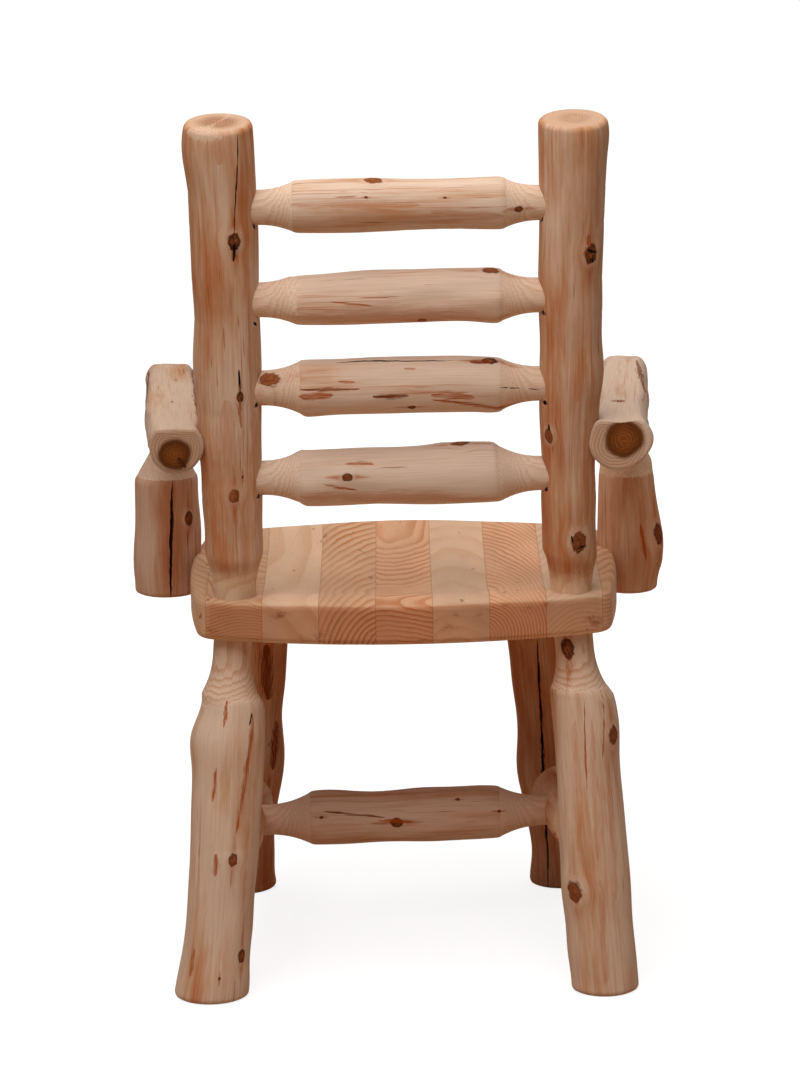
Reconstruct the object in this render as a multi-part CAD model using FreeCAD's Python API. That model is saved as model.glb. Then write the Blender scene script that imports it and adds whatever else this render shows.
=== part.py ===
"""Rustic log armchair: peeled log posts, rungs, legs and arms around a glued stave seat.

Millimetres, +Z up. The sitter faces -Y and +X is on the sitter's left. The floor is Z = 0 and the
origin lies under the middle of the chair. Each sub-part is written to parts/NODE.step.
"""
import math
import os

import FreeCAD
import Part
from FreeCAD import Placement, Rotation, Vector

# Seat
SEAT_HEIGHT = 455.0
SEAT_THICKNESS = 47.0
SEAT_BACK_Y = 217.5
SEAT_FRONT_Y = -227.5
SEAT_HALF_WIDTH = 241.0
SEAT_SIDE_BOW = 13.0
SEAT_WIDEST_Y = -50.0
SEAT_BACK_BOW = 45.0
SEAT_FRONT_BOW = 34.0
SEAT_CORNER_RADIUS = 30.0
SEAT_EDGE_ROUND = 9.0
SEAT_UNDER_ROUND = 8.0
STAVE_COUNT = 9
OUTER_STAVE = 22.25
DISH_DEPTH = 13.0
DISH_SIDE_RIM = 29.0
DISH_END_RIM = 36.5
DISH_CENTRE_Y = -25.0
FRONT_CROWN = 1.0
FRONT_DROP = 8.0

# Back
POST_FROM_BACK = 59.0
POST_LEAN = 10.0
POST_TENON = 46.0
POST_TENON_DEPTH = 19.0
POST_NECK_CURVE = 125.0
POST_TOP_ROUND = 6.0
RUNG_TENON = 39.0
RUNG_TENON_DEPTH = 26.0
RUNG_NECK_CURVE = 86.0
RUNG_SPARE = 4.5

# Legs and stretchers
REAR_LEG_FROM_BACK = 72.5
FRONT_LEG_FROM_FRONT = 32.5
LEG_SPARE = 28.5
LEG_TENON = 44.0
LEG_TENON_DEPTH = 19.0
LEG_NECK_STRAIGHT = 25.0
LEG_NECK_CURVE = 92.0
FOOT_ROUND = 6.0
STRETCHER_TENON = 36.0
STRETCHER_TENON_DEPTH = 24.0
STRETCHER_NECK_CURVE = 104.0
CROSS_STRETCHER_Y = -30.0
CROSS_STRETCHER_SPARE = 10.0

# Arms
ARM_RISE = 200.0
ARM_BACK_Y = {"left": 221.0, "right": 218.0}
ARM_FRONT_Y = -189.0
ARM_BACK_ROUND = 4.0
ARM_FRONT_ROUND = 9.0
SUPPORT_Y = -75.0
SUPPORT_FOOT_ROUND = 6.0
SUPPORT_TENON = 38.0
SUPPORT_TENON_DEPTH = 24.0
SUPPORT_SPARE = 19.0
SUPPORT_CONE_DROP = 112.0
SUPPORT_CONE_RIM = 36.0
SUPPORT_CONE_HEIGHT = 30.0

# Fits and fasteners
FIT = 0.15
BORE_SPARE = 1.0
TENON_CHAMFER = 1.5
NECK_STRAIGHT = 2.0
SCREW_SHANK = 4.0
SCREW_HEAD = 6.8
SCREW_HEAD_HEIGHT = 2.5
SCREW_LENGTH = 30.0
SCREW_SUNK = 4.0
SCREW_DROP = 24.0
LAG_SHANK = 6.0
LAG_HEAD = 11.0
LAG_HEAD_HEIGHT = 4.0
PLUG_DIAMETER = 12.0
PLUG_LENGTH = 8.0
ARM_LAG_LENGTH = 62.0
ARM_LAG_SUNK = 12.0
SUPPORT_LAG_LENGTH = 78.0
SUPPORT_LAG_SUNK = 26.0

# Each log's place: how far it stands in from the seat's side, or out from it, its rise above the seat,
# and its drop below the arm's top
POST_INSET = {"left": 55.0, "right": 56.0}
RUNG_RISE = {1: 442.5, 2: 339.5, 3: 239.5, 4: 136.5}
LEG_INSET = {"rear_leg_left": 51.0, "rear_leg_right": 54.0, "front_leg_left": 74.0, "front_leg_right": 89.0}
LEG_SPLAY = {
    "rear_leg_left": (29.0, 32.0), "rear_leg_right": (31.0, 32.0),
    "front_leg_left": (29.0, -55.0), "front_leg_right": (32.0, -55.0),
}
STRETCHER_FRONT_Z = {"left": 129.0, "right": 131.0}
STRETCHER_REAR_Z = {"left": 158.0, "right": 170.0}
ARM_CENTRE_DROP = {"left": 20.0, "right": 23.0}
ARM_BACK_OUT = {"left": 3.0, "right": -5.0}
ARM_FRONT_OUT = {"left": 27.0, "right": 20.0}
SUPPORT_FOOT_OUT = {"left": 31.5, "right": 21.0}
SUPPORT_HEAD_OUT = {"left": 27.0, "right": 15.0}
SUPPORT_FOOT_DROP = {"left": 1.0, "right": 7.0}

# Each log's course: distance along its axis, diameter there, sideways sway of its centre.
# Uprights sway along X and level logs along Z.
POST_COURSE = {
    "left": [(-30, 64, 0), (70, 65, 0), (145, 66.5, 0), (190, 71, 1), (225, 70.5, 0), (270, 73.5, 1),
             (318, 70, 0), (385, 72.5, 0), (450, 72.5, 0), (480, 74, 1), (508, 78, 3.5), (545, 73, 2.5)],
    "right": [(-30, 60, 0), (75, 60, 2.5), (148, 59, 3), (217, 66.5, 1.3), (252, 70.5, -1), (290, 67.5, -1),
              (355, 69, 0.4), (430, 69.5, -1.4), (470, 71, -2.5), (502, 74.5, -4.3), (543, 72, -3)],
}
RUNG_COURSE = {
    1: [(-190, 54, 0), (-125, 55, 0), (-90, 55.7, 0), (-50, 53.6, 0), (0, 56, 0), (45, 57.8, 0),
        (100, 57, 0), (190, 52, 0)],
    2: [(-190, 58, -1), (-100, 59, 0), (-50, 57.4, 2), (15, 57.2, 1), (47, 58, 0), (85, 54, -1),
        (190, 53, -2)],
    3: [(-190, 58, 0), (-97, 59.7, 0), (-49, 60.8, 1), (16, 61.5, 1), (60, 60.6, 0), (98, 62, -1),
        (190, 58, -2)],
    4: [(-190, 62, 2), (-110, 66, 2), (-80, 68.9, 2), (-47, 66.5, 1), (-10, 62.3, 0), (51, 61.2, 0),
        (90, 62, -1), (190, 56, -2)],
}
LEG_COURSE = {
    "rear_leg_left": [(-30, 64, 0), (60, 68, -0.5), (100, 76, -2.5), (127, 83, 0), (168, 79, -2),
                      (250, 77, -2.4), (305, 74, -1.2), (355, 74.5, 0), (386, 79, 2), (402, 83, 4),
                      (440, 86, 5)],
    "rear_leg_right": [(-30, 66, 0), (65, 67, -2.2), (106, 73.5, -5.3), (135, 72.4, -4.5), (162, 71.3, -2.7),
                       (243, 75.5, -1.2), (297, 78.2, 0), (330, 75, 0), (395, 75.6, 0), (440, 75, 0)],
    "front_leg_left": [(-30, 68, 0), (100, 72, 0), (165, 70, 1), (197, 69, 1.5), (228, 76, 0),
                       (245, 77, -0.5), (275, 71, 0), (327, 66, 2.5), (385, 70, 2), (402, 76, 1),
                       (440, 80, 0)],
    "front_leg_right": [(-30, 70, 0), (106, 75, 0), (157, 73, 0), (187, 70, -0.5), (218, 71, 0),
                        (248, 78, 1), (280, 77, 0.5), (306, 71, 0), (343, 67, -1.5), (374, 69, -1.5),
                        (395, 75, 0), (440, 79, 0)],
}
STRETCHER_COURSE = {
    "left": [(0, 64, 0), (90, 68, 0), (200, 66, 1), (310, 69, 0), (400, 64, 0)],
    "right": [(0, 66, 0), (100, 69, 0), (200, 67, -1), (300, 68, 0), (400, 65, 0)],
}
CROSS_STRETCHER_COURSE = [(-200, 56, 0), (-120, 59, 0), (-78, 62.5, 0), (-20, 61.2, 0), (30, 59, -1),
                          (85, 62.5, 0), (120, 62, 0), (200, 58, 0)]
ARM_COURSE = {
    "left": [(0, 60, 0), (60, 62, 0), (150, 66, 2), (220, 62, 1), (300, 60, 0), (411, 57, 0)],
    "right": [(0, 66, 0), (50, 64, 0), (130, 60, 0), (210, 63, 1), (300, 60, 0), (408, 57, 0)],
}
SUPPORT_COURSE = {
    "left": [(-10, 75, 0), (40, 77.5, 0), (85, 75, -1), (130, 73.5, 1), (240, 70, 0)],
    "right": [(-10, 69, 0), (25, 70, 0), (62, 78, -1.5), (100, 68.5, 0), (140, 61.5, 0), (240, 58, 0)],
}

SEAT_UNDERSIDE = SEAT_HEIGHT - SEAT_THICKNESS
SEAT_CORNER_X = SEAT_HALF_WIDTH - SEAT_SIDE_BOW
STAVE_WIDTH = 2 * (SEAT_HALF_WIDTH - OUTER_STAVE) / (STAVE_COUNT - 2)
DISH_HALF_WIDTH = SEAT_HALF_WIDTH - DISH_SIDE_RIM
DISH_HALF_DEPTH = (SEAT_BACK_Y - SEAT_FRONT_Y) / 2 - DISH_END_RIM
POST_BASE_Y = SEAT_BACK_Y - POST_FROM_BACK
ARM_TOP = SEAT_HEIGHT + ARM_RISE
SIDES = {"left": 1, "right": -1}
UP = Vector(0, 0, 1)
ACROSS = Vector(1, 0, 0)
CUTTER_RADIUS = 70.0
FAR = 900.0
RING_POINTS = 12
RING_SPACING = 32.0
LOFT_DEGREE = 3
FRONT_SEAM = 270.0

parts = {}
holes = {}


def unit(vector):
    return vector / vector.Length


def stretched(course, reach):
    """A course drawn out or shortened so that its last point comes at the reach."""
    factor = reach / course[-1][0]
    return [(distance * factor, wide, sway) for distance, wide, sway in course]


def beside_seat(side, out):
    """X of a point that lies out from the seat's side, or in from it where out is negative."""
    return SIDES[side] * (SEAT_HALF_WIDTH + out)


def course_at(course, distance):
    """Radius and sway of a log at a distance along it, easing from point to point."""
    for (a, wide_a, sway_a), (b, wide_b, sway_b) in zip(course, course[1:]):
        if distance <= b:
            ease = (1 - math.cos(math.pi * (distance - a) / (b - a))) / 2
            return (wide_a + (wide_b - wide_a) * ease) / 2, sway_a + (sway_b - sway_a) * ease
    return course[-1][1] / 2, course[-1][2]


def log(course, start, direction, sway_to, swell=0.0, seam=0.0):
    """A log lofted through evenly spaced rings; its seam, in degrees, lies where no hole meets it."""
    turn = Rotation(sway_to, direction.cross(sway_to), direction, "ZXY")
    angles = [math.radians(seam) + 2 * math.pi * step / RING_POINTS for step in range(RING_POINTS)]
    first, last = course[0][0], course[-1][0]
    spans = math.ceil((last - first) / RING_SPACING)
    rings = []
    for span in range(spans + 1):
        along = first + (last - first) * span / spans
        radius, sway = course_at(course, along)
        radius += swell
        ring = Part.BSplineCurve()
        ring.interpolate([Vector(sway + radius * math.cos(a), radius * math.sin(a), along) for a in angles],
                         PeriodicFlag=True)
        edge = ring.toShape()
        edge.Placement = Placement(start, turn)
        rings.append(Part.Wire([edge]))
    return Part.makeLoft(rings, True, False, False, LOFT_DEGREE)


def cutter(shoulder, inward, tenon, depth, flare):
    """What a tenon cutter leaves of a log: the tenon, a neck along the flare, then the whole log."""
    radius = tenon / 2
    neck = flare.Vertexes[0].Point
    rim = flare.Vertexes[-1].Point
    tip = Vector(0, 0, -depth)
    below = [tip, Vector(radius - TENON_CHAMFER, 0, -depth), Vector(radius, 0, TENON_CHAMFER - depth), neck]
    beyond = [rim, Vector(rim.x, 0, FAR), Vector(0, 0, FAR), tip]
    edges = [Part.makeLine(start, end) for start, end in zip(below, below[1:])]
    edges.append(flare)
    edges += [Part.makeLine(start, end) for start, end in zip(beyond, beyond[1:])]
    solid = Part.Face(Part.Wire(edges)).revolve(Vector(), UP, 360)
    solid.Placement = Placement(shoulder, Rotation(UP, inward))
    return solid


def turned_end(shoulder, inward, tenon, depth, curve, straight):
    """A turned end whose neck flares by an arc."""
    radius = tenon / 2
    sweep = math.acos(1 - (CUTTER_RADIUS - radius) / curve)

    def on_arc(angle):
        return Vector(radius + curve * (1 - math.cos(angle)), 0, straight + curve * math.sin(angle))

    flare = Part.Arc(on_arc(0), on_arc(sweep / 2), on_arc(sweep)).toShape()
    return cutter(shoulder, inward, tenon, depth, flare)


def pointed_end(shoulder, inward, tenon, depth, slope, straight):
    """A turned end with a straight neck and a cone, as a pencil sharpener cuts it."""
    radius = tenon / 2
    cone_height = (CUTTER_RADIUS - radius) / slope
    flare = Part.makeLine(Vector(radius, 0, straight), Vector(CUTTER_RADIUS, 0, straight + cone_height))
    return cutter(shoulder, inward, tenon, depth, flare)


def bore(mouth, inward, diameter, depth):
    return Part.makeCylinder(diameter / 2, depth, mouth, inward)


def mortise(shoulder, outward, tenon, depth):
    """Hole for a tenon, which leaves its log at the shoulder; it is open for a depth before that."""
    start = shoulder - unit(outward) * depth
    return bore(start, outward, tenon + 2 * FIT, 2 * depth + BORE_SPARE)


def beyond_plane(point, outward):
    """A large block on the outer side of a plane."""
    block = Part.makeBox(FAR, FAR, FAR, Vector(-FAR / 2, -FAR / 2, 0))
    block.Placement = Placement(point, Rotation(UP, outward))
    return block


def round_end(solid, point, radius):
    """Round the rim of the flat end nearest to a point."""
    flat = [face for face in solid.Faces if face.Surface.TypeId == "Part::GeomPlane"]
    end = min(flat, key=lambda face: (face.CenterOfMass - point).Length)
    return solid.makeFillet(radius, end.OuterWire.Edges)


def drill(node, tool):
    """Note a hole, which is cut from its node when all pieces are there."""
    holes.setdefault(node, []).append(tool)


def stave_start(number):
    return (number - 1 - STAVE_COUNT / 2) * STAVE_WIDTH


def drill_seat(tool):
    """A hole in the seat goes through the staves that it meets."""
    for number in range(1, STAVE_COUNT + 1):
        start = stave_start(number)
        if tool.BoundBox.XMax > start and tool.BoundBox.XMin < start + STAVE_WIDTH:
            drill(f"seat_stave_{number}", tool)


def screw(mouth, inward, shank, head, head_height, length, sunk, mouth_diameter):
    """A screw whose head lies below the mouth of its hole, and that stepped hole."""
    inward = unit(inward)
    seat = mouth + inward * sunk
    body = bore(seat, inward, head, head_height).fuse(bore(seat, inward, shank, length))
    hole = bore(mouth - inward * sunk, inward, mouth_diameter, 2 * sunk + head_height)
    hole = hole.fuse(bore(seat, inward, shank + 2 * FIT, length + BORE_SPARE))
    return body.removeSplitter(), hole


def tenon_screw(mouth, target):
    """A small screw that locks a tenon from below."""
    return screw(mouth, target - mouth, SCREW_SHANK, SCREW_HEAD, SCREW_HEAD_HEIGHT, SCREW_LENGTH, SCREW_SUNK,
                 SCREW_HEAD + 2 * FIT)


def plugged_lag(mouth, inward, length, sunk, log_solid):
    """A lag screw in a deep hole, and the wood plug that closes it flush with the log."""
    lag, hole = screw(mouth, inward, LAG_SHANK, LAG_HEAD, LAG_HEAD_HEIGHT, length, sunk,
                      PLUG_DIAMETER + 2 * FIT)
    plug = bore(mouth - inward * PLUG_LENGTH, inward, PLUG_DIAMETER, 2 * PLUG_LENGTH).common(log_solid)
    return lag, hole, plug


# Seat
def seat_top(x, y):
    """Height of the carved top: a dish inside a level rim, with a front edge that falls away."""
    across = abs(x) / DISH_HALF_WIDTH
    along = abs(y - DISH_CENTRE_Y) / DISH_HALF_DEPTH
    inside = max(0.0, 1 - across**4 - along**4)
    dish = DISH_DEPTH * inside**2 * (3 - 2 * inside)
    forward = max(0.0, (DISH_CENTRE_Y - y) / (DISH_CENTRE_Y - SEAT_FRONT_Y))
    return SEAT_HEIGHT - dish + (FRONT_CROWN - FRONT_DROP * across**2) * forward**2


def carved_top():
    """The top as one smooth face that reaches past the seat on all sides."""
    shares = [step / 6 for step in range(-6, 7)]
    reach_x = SEAT_HALF_WIDTH * 1.15
    reach_y = (SEAT_BACK_Y - SEAT_FRONT_Y) * 0.58
    middle_y = (SEAT_BACK_Y + SEAT_FRONT_Y) / 2
    rows = []
    for share in shares:
        x = reach_x * share
        ys = [middle_y + reach_y * other for other in shares]
        rows.append([Vector(x, y, seat_top(x, y)) for y in ys])
    surface = Part.BSplineSurface()
    surface.interpolate(rows)
    return surface.toShape()


def seat_panel():
    back = SEAT_BACK_Y - SEAT_BACK_BOW
    front = SEAT_FRONT_Y + SEAT_FRONT_BOW
    back_left = Vector(SEAT_CORNER_X, back, SEAT_UNDERSIDE)
    back_right = Vector(-SEAT_CORNER_X, back, SEAT_UNDERSIDE)
    front_left = Vector(SEAT_CORNER_X, front, SEAT_UNDERSIDE)
    front_right = Vector(-SEAT_CORNER_X, front, SEAT_UNDERSIDE)
    arcs = [
        Part.Arc(back_left, Vector(0, SEAT_BACK_Y, SEAT_UNDERSIDE), back_right),
        Part.Arc(back_right, Vector(-SEAT_HALF_WIDTH, SEAT_WIDEST_Y, SEAT_UNDERSIDE), front_right),
        Part.Arc(front_right, Vector(0, SEAT_FRONT_Y, SEAT_UNDERSIDE), front_left),
        Part.Arc(front_left, Vector(SEAT_HALF_WIDTH, SEAT_WIDEST_Y, SEAT_UNDERSIDE), back_left),
    ]
    outline = Part.Face(Part.Wire([arc.toShape() for arc in arcs]))
    block = outline.extrude(UP * 2 * SEAT_THICKNESS)
    uprights = [edge for edge in block.Edges if edge.BoundBox.ZLength > SEAT_THICKNESS]
    block = block.makeFillet(SEAT_CORNER_RADIUS, uprights)
    block = block.cut(carved_top().extrude(UP * 3 * SEAT_THICKNESS))
    under = [edge for edge in block.Edges if edge.BoundBox.ZMax < SEAT_UNDERSIDE + 1]
    block = block.makeFillet(SEAT_UNDER_ROUND, under)
    upper = [edge for edge in block.Edges if edge.BoundBox.ZMin > SEAT_UNDERSIDE + SEAT_THICKNESS / 2]
    return block.makeFillet(SEAT_EDGE_ROUND, upper)


panel = seat_panel()
for number in range(1, STAVE_COUNT + 1):
    slab = Part.makeBox(STAVE_WIDTH, FAR, FAR, Vector(stave_start(number), -FAR / 2, 0))
    parts[f"seat_stave_{number}"] = panel.common(slab)

# Back posts, which lean back side by side
LEAN = math.radians(POST_LEAN)
POST_AXIS = Vector(0, math.sin(LEAN), math.cos(LEAN))


def post_base(side):
    return Vector(beside_seat(side, -POST_INSET[side]), POST_BASE_Y, SEAT_HEIGHT)


def post_log(side, swell=0.0):
    return log(POST_COURSE[side], post_base(side), POST_AXIS, ACROSS, swell, FRONT_SEAM)


for side in SIDES:
    base = post_base(side)
    top = base + POST_AXIS * POST_COURSE[side][-1][0]
    post = round_end(post_log(side), top, POST_TOP_ROUND)
    neck = turned_end(base, POST_AXIS, POST_TENON, POST_TENON_DEPTH, POST_NECK_CURVE, NECK_STRAIGHT)
    parts[f"rear_post_{side}"] = post.common(neck)
    drill_seat(mortise(base, -POST_AXIS, POST_TENON, POST_TENON_DEPTH))

# Ladder rungs, each with a locking screw at both posts
tenon_screws = []
half_span = (post_base("left").x - post_base("right").x) / 2
for number, rise in RUNG_RISE.items():
    along_post = rise / math.cos(LEAN)
    centre = Vector(0, POST_BASE_Y + along_post * math.sin(LEAN), SEAT_HEIGHT + rise)
    rung = log(stretched(RUNG_COURSE[number], half_span + RUNG_SPARE), centre, ACROSS, UP)
    for side, sign in SIDES.items():
        inward = ACROSS * -sign
        radius, sway = course_at(POST_COURSE[side], along_post)
        post_centre = centre + ACROSS * (post_base(side).x + sway)
        shoulder = post_centre + inward * radius
        rung = rung.common(
            turned_end(shoulder, inward, RUNG_TENON, RUNG_TENON_DEPTH, RUNG_NECK_CURVE, NECK_STRAIGHT))
        drill(f"rear_post_{side}", mortise(shoulder, -inward, RUNG_TENON, RUNG_TENON_DEPTH))
        behind = radius * 0.66 - SCREW_DROP * math.tan(LEAN)
        mouth = post_centre + inward * radius * 0.75 + Vector(0, behind, -SCREW_DROP)
        body, hole = tenon_screw(mouth, post_centre + inward * radius * 0.45)
        tenon_screws.append(body)
        drill(f"rear_post_{side}", hole)
        drill(f"back_rung_{number}", hole)
    parts[f"back_rung_{number}"] = rung

# Legs, which splay from the seat's underside to the floor
LEG_TOP_Y = {"rear": SEAT_BACK_Y - REAR_LEG_FROM_BACK, "front": SEAT_FRONT_Y + FRONT_LEG_FROM_FRONT}
leg_line = {}
for node in LEG_COURSE:
    end, _, side = node.split("_")
    outward, lengthwise = LEG_SPLAY[node]
    top = Vector(beside_seat(side, -LEG_INSET[node]), LEG_TOP_Y[end], SEAT_UNDERSIDE)
    foot = Vector(top.x + SIDES[side] * outward, top.y + lengthwise, 0)
    down = unit(foot - top)
    course = stretched(LEG_COURSE[node], (foot - top).Length + LEG_SPARE)
    leg_line[node] = (top, down, course)
    leg = log(course, top, down, ACROSS).cut(beyond_plane(foot, -UP))
    leg = round_end(leg, foot, FOOT_ROUND)
    neck = turned_end(top, down, LEG_TENON, LEG_TENON_DEPTH, LEG_NECK_CURVE, LEG_NECK_STRAIGHT)
    parts[node] = leg.common(neck)
    drill_seat(mortise(top, -down, LEG_TENON, LEG_TENON_DEPTH))


def leg_at(node, height):
    """Centre and radius of a leg at a height."""
    top, down, course = leg_line[node]
    distance = (height - top.z) / down.z
    radius, sway = course_at(course, distance)
    return top + down * distance + ACROSS * sway, radius


# Side stretchers from front leg to rear leg
cross_end = {}
for side in SIDES:
    front, front_radius = leg_at(f"front_leg_{side}", STRETCHER_FRONT_Z[side])
    rear, rear_radius = leg_at(f"rear_leg_{side}", STRETCHER_REAR_Z[side])
    run = unit(rear - front)
    course = stretched(STRETCHER_COURSE[side], (rear - front).Length)
    stretcher = log(course, front, run, UP)
    ends = (("front", front, run, front_radius), ("rear", rear, -run, rear_radius))
    for place, centre, inward, radius in ends:
        shoulder = centre + inward * radius
        stretcher = stretcher.common(turned_end(shoulder, inward, STRETCHER_TENON, STRETCHER_TENON_DEPTH,
                                                STRETCHER_NECK_CURVE, NECK_STRAIGHT))
        drill(f"{place}_leg_{side}", mortise(shoulder, -inward, STRETCHER_TENON, STRETCHER_TENON_DEPTH))
    parts[f"side_stretcher_{side}"] = stretcher
    distance = (CROSS_STRETCHER_Y - front.y) / run.y
    cross_end[side] = (front + run * distance, course_at(course, distance)[0])

# Cross stretcher between them
between = cross_end["left"][0] - cross_end["right"][0]
run = unit(between)
middle = (cross_end["left"][0] + cross_end["right"][0]) / 2
cross = log(stretched(CROSS_STRETCHER_COURSE, between.Length / 2 + CROSS_STRETCHER_SPARE), middle, run, UP)
for side, sign in SIDES.items():
    centre, radius = cross_end[side]
    inward = run * -sign
    shoulder = centre + inward * radius
    cross = cross.common(turned_end(shoulder, inward, STRETCHER_TENON, STRETCHER_TENON_DEPTH,
                                    STRETCHER_NECK_CURVE, NECK_STRAIGHT))
    drill(f"side_stretcher_{side}", mortise(shoulder, -inward, STRETCHER_TENON, STRETCHER_TENON_DEPTH))
    mouth = centre + inward * radius * 0.72 + Vector(0, radius * 0.4, -radius * 0.56)
    body, hole = tenon_screw(mouth, centre + inward * radius * 0.45)
    tenon_screws.append(body)
    drill(f"side_stretcher_{side}", hole)
    drill("cross_stretcher", hole)
parts["cross_stretcher"] = cross

# Arms on their supports, let into the posts and the seat
arm_lags, arm_plugs, support_lags, support_plugs = [], [], [], []
for side, sign in SIDES.items():
    inward = ACROSS * -sign
    arm_height = ARM_TOP - ARM_CENTRE_DROP[side]
    back = Vector(beside_seat(side, ARM_BACK_OUT[side]), ARM_BACK_Y[side], arm_height)
    front = Vector(beside_seat(side, ARM_FRONT_OUT[side]), ARM_FRONT_Y, arm_height)
    forward = unit(front - back)
    arm_course = stretched(ARM_COURSE[side], (front - back).Length)
    arm = log(arm_course, back, forward, UP).cut(beyond_plane(UP * ARM_TOP, UP))
    arm = round_end(arm, back, ARM_BACK_ROUND)
    arm = round_end(arm, front, ARM_FRONT_ROUND)
    post_y = POST_BASE_Y + (back.z - SEAT_HEIGHT) * math.tan(LEAN)
    distance = (post_y - back.y) / forward.y
    mouth = back + forward * distance - inward * course_at(arm_course, distance)[0]
    lag, hole, plug = plugged_lag(mouth, inward, ARM_LAG_LENGTH, ARM_LAG_SUNK, arm)
    arm_lags.append(lag)
    arm_plugs.append(plug)
    drill(f"arm_{side}", hole)
    drill(f"arm_{side}", post_log(side, FIT))
    drill(f"rear_post_{side}", hole)
    parts[f"arm_{side}"] = arm

    distance = (SUPPORT_Y - back.y) / forward.y
    radius, sway = course_at(arm_course, distance)
    foot_height = SEAT_UNDERSIDE - SUPPORT_FOOT_DROP[side]
    foot = Vector(beside_seat(side, SUPPORT_FOOT_OUT[side]), SUPPORT_Y, foot_height)
    head = Vector(beside_seat(side, SUPPORT_HEAD_OUT[side]), SUPPORT_Y, back.z + sway - radius)
    axis = unit(head - foot)
    course = stretched(SUPPORT_COURSE[side], (head - foot).Length + SUPPORT_TENON_DEPTH + SUPPORT_SPARE)
    support = log(course, foot, axis, ACROSS, 0.0, FRONT_SEAM).cut(beyond_plane(foot, -UP))
    support = round_end(support, foot, SUPPORT_FOOT_ROUND)
    slope = (SUPPORT_CONE_RIM - SUPPORT_TENON / 2) / SUPPORT_CONE_HEIGHT
    straight = (head.z - ARM_TOP + SUPPORT_CONE_DROP - SUPPORT_CONE_HEIGHT) / axis.z
    support = support.common(pointed_end(head, -axis, SUPPORT_TENON, SUPPORT_TENON_DEPTH, slope, straight))
    drill(f"arm_{side}", mortise(head, axis, SUPPORT_TENON, SUPPORT_TENON_DEPTH))
    drill_seat(log(course, foot, axis, ACROSS, FIT, FRONT_SEAM))
    height = SEAT_UNDERSIDE + SEAT_THICKNESS / 2
    radius, sway = course_at(course, height - foot.z)
    mouth = Vector(foot.x + sway, foot.y, height) - inward * radius
    lag, hole, plug = plugged_lag(mouth, inward, SUPPORT_LAG_LENGTH, SUPPORT_LAG_SUNK, support)
    support_lags.append(lag)
    support_plugs.append(plug)
    drill(f"arm_support_{side}", hole)
    drill_seat(hole)
    parts[f"arm_support_{side}"] = support

# Holes, then the fasteners as groups of equal pieces
for node, tools in holes.items():
    for tool in tools:
        parts[node] = parts[node].cut(tool)
parts["tenon_screws"] = Part.makeCompound(tenon_screws)
parts["arm_lag_screws"] = Part.makeCompound(arm_lags)
parts["arm_plugs"] = Part.makeCompound(arm_plugs)
parts["support_lag_screws"] = Part.makeCompound(support_lags)
parts["support_plugs"] = Part.makeCompound(support_plugs)

os.makedirs("parts", exist_ok=True)
for node, shape in parts.items():
    shape.exportStep(f"parts/{node}.step")
    print(f"{node}: {len(shape.Solids)} solid(s), {shape.Volume / 1000:.1f} cm3, valid {shape.isValid()}")
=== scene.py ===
# %% [markdown]
# # A ladder back armchair of peeled logs
# This lesson dresses a chair that is already built as solid parts. Seventeen peeled logs are joined round
# a carved seat of nine glued staves. Every log here grows from the solid that it stands for, so the fits
# stay where they are, and the lesson adds what a drawknife, a tenon cutter and the weather leave on wood.

# %% Open the frame
import math
from collections import namedtuple
import bpy
import numpy as np
from mathutils import Matrix, Vector


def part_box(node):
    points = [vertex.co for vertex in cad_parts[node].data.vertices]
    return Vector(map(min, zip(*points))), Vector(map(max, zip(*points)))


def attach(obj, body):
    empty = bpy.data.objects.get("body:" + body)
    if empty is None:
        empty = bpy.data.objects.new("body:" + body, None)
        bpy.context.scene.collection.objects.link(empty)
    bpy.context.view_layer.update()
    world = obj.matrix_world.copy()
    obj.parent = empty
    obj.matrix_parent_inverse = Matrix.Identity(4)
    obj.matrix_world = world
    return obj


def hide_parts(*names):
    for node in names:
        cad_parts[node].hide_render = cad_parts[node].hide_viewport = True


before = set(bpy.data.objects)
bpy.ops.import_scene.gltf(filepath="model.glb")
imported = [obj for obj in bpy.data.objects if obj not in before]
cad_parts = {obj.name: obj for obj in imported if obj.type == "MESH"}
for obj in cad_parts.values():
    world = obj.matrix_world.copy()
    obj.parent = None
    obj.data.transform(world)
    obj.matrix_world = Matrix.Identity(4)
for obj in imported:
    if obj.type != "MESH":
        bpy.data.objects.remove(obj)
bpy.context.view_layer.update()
MM = 0.001
print("solids in the frame:", len(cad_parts))

# %% [markdown]
# The photograph looks at the back of the chair with a long lens, from a little above. The camera was
# fitted so that points of the chair fall on their places in the photograph: it stands far away, tipped
# down and rolled by one degree. A position and two small turns are easy to check against the picture.

# %% Stand the camera where the photograph was taken
PHOTO_SIZE = (800, 1067)
FOCAL_PX = 4759.0
CAMERA_PLACE = np.array([0.003, 5.2825, 1.631])
PITCH = math.radians(12.22)
ROLL = math.radians(1.0)
SENSOR = 36.0

look = np.array([0.0, -math.cos(PITCH), -math.sin(PITCH)])
level = np.array([-1.0, 0.0, 0.0])
rise = np.cross(level, look)
right = math.cos(ROLL) * level - math.sin(ROLL) * rise
upright = math.sin(ROLL) * level + math.cos(ROLL) * rise

lens = bpy.data.cameras.new("photo_lens")
lens.sensor_width = SENSOR
lens.lens = SENSOR * FOCAL_PX / PHOTO_SIZE[1]
lens.dof.use_dof = False
scene = bpy.context.scene
scene.view_settings.view_transform = "Standard"


def add(name, data):
    """A new object in the scene."""
    thing = bpy.data.objects.new(name, data)
    scene.collection.objects.link(thing)
    return thing


camera = add("photo_camera", lens)
turned = Matrix(np.stack([right, upright, -look], axis=1).tolist()).to_4x4()
camera.matrix_world = Matrix.Translation(CAMERA_PLACE.tolist()) @ turned
scene.camera = camera


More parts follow.
